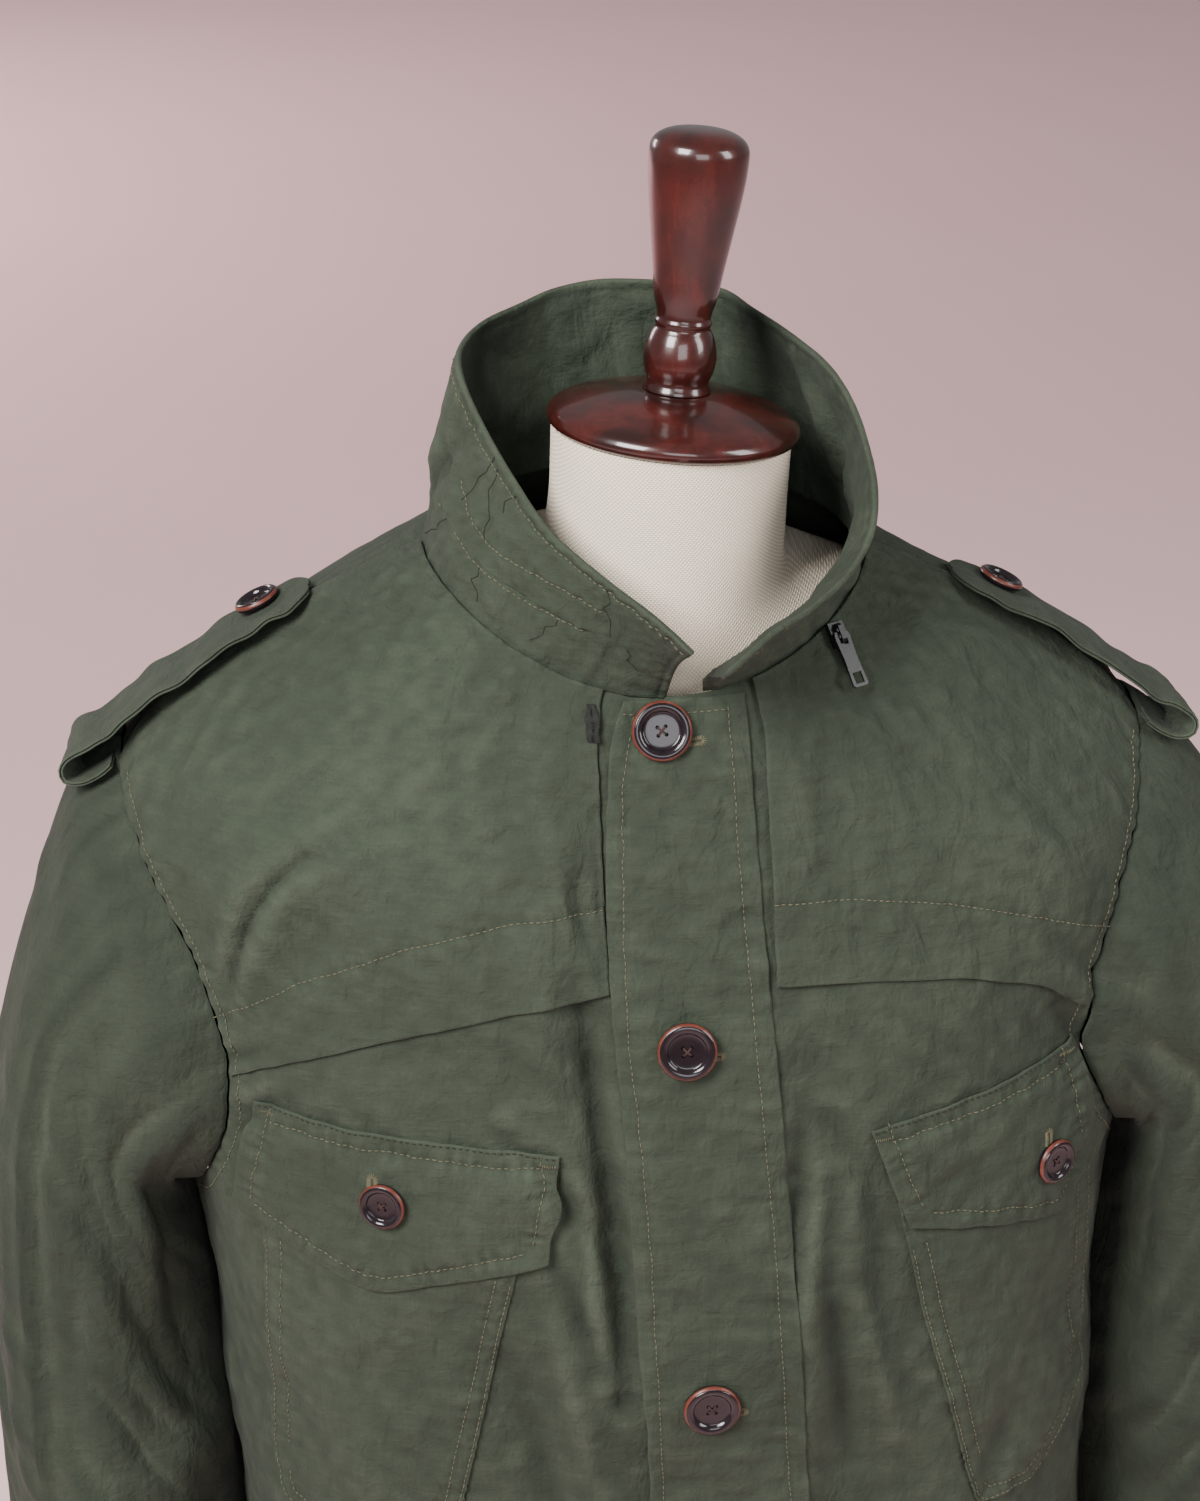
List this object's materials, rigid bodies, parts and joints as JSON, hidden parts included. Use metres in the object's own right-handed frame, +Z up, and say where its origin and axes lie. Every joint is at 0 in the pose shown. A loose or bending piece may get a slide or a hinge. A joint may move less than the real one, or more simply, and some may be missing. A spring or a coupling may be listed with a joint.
{
  "type": "parka on dress form",
  "caption": "Hip-length cotton field parka with stand collar, button placket, flap pockets and shoulder straps, worn on a linen limbless dress form on a wooden pole and round foot",
  "frame": {"origin": "centre of the foot's flat underside, where the form stands on the floor", "axes": "+Z up the pole, the jacket's front faces -Y, the wearer's left is +X"},
  "size_m": [0.708, 0.38, 1.4345],
  "materials": {
    "olive_cotton": "washed matt twill",
    "linen": "matt plain weave",
    "mahogany": "polished varnish",
    "dark_horn": "polished",
    "black_metal": "satin black enamel",
    "hook_tape": "matt"
  },
  "bodies": {
    "parka_and_form": {"front_left": "olive_cotton", "front_right": "olive_cotton", "back": "olive_cotton", "collar": "olive_cotton", "sleeve_left": "olive_cotton", "sleeve_right": "olive_cotton", "yoke_left": "olive_cotton", "yoke_right": "olive_cotton", "placket": "olive_cotton", "pocket_left": "olive_cotton", "pocket_right": "olive_cotton", "pocket_flap_left": "olive_cotton", "pocket_flap_right": "olive_cotton", "strap_left": "olive_cotton", "strap_right": "olive_cotton", "dress_form": "linen", "neck_cap": "mahogany", "finial": "mahogany", "pole": "mahogany", "foot": "mahogany", "button_1": "dark_horn", "button_2": "dark_horn", "button_3": "dark_horn", "button_4": "dark_horn", "button_5": "dark_horn", "pocket_button_left": "dark_horn", "pocket_button_right": "dark_horn", "strap_button_left": "dark_horn", "strap_button_right": "dark_horn", "zip_slider": "black_metal", "hook_tape": "hook_tape"},
    "zip_pull": {"zip_pull": "black_metal"}
  },
  "joints": [
    {"name": "zip_pull_swing", "type": "hinge", "parent": "parka_and_form", "child": "zip_pull", "pos_m": [0.09152, -0.06485, 1.20727], "axis": [-0.8784, -0.4779, 0], "range_deg": [0, 100]}
  ]
}
